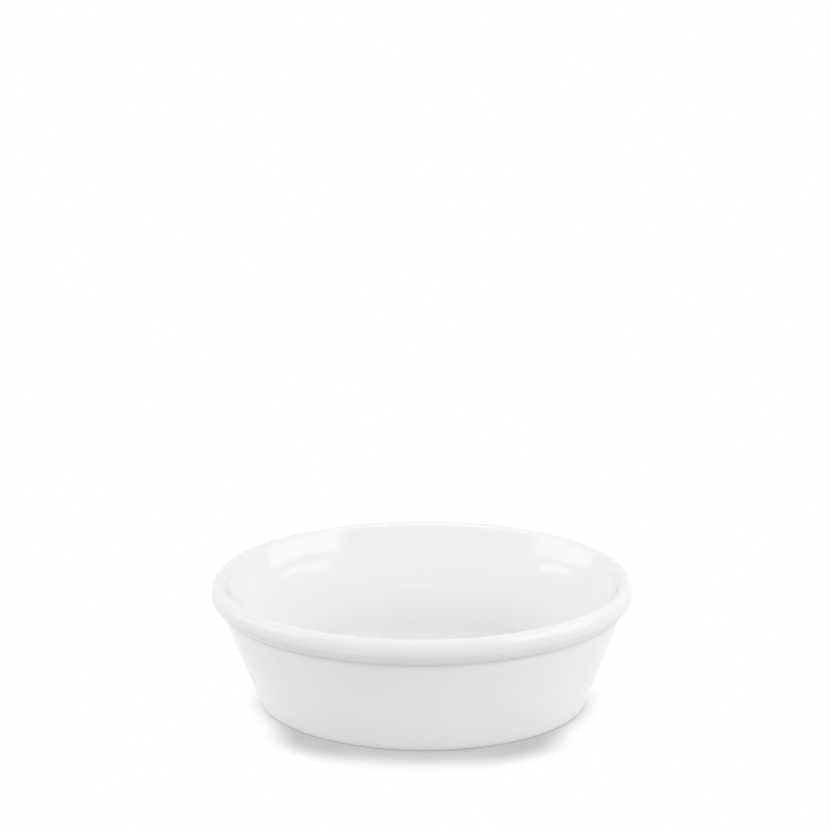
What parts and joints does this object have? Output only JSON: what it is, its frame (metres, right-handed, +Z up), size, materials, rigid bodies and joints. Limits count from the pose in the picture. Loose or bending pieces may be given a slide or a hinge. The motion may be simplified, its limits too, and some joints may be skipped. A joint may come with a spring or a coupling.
{
  "type": "oval pie dish",
  "caption": "Oval white glazed ceramic pie dish with sloping sides, a flat floor and a rolled rim that stands proud outside.",
  "frame": {"origin": "on the table under the middle of the dish", "axes": "+X along the oval's long way, +Y along its short way, +Z up out of the dish"},
  "size_m": [0.152, 0.113, 0.049],
  "materials": {
    "white_glaze": "gloss"
  },
  "bodies": {
    "root": {"pie_dish": "white_glaze"}
  },
  "joints": []
}
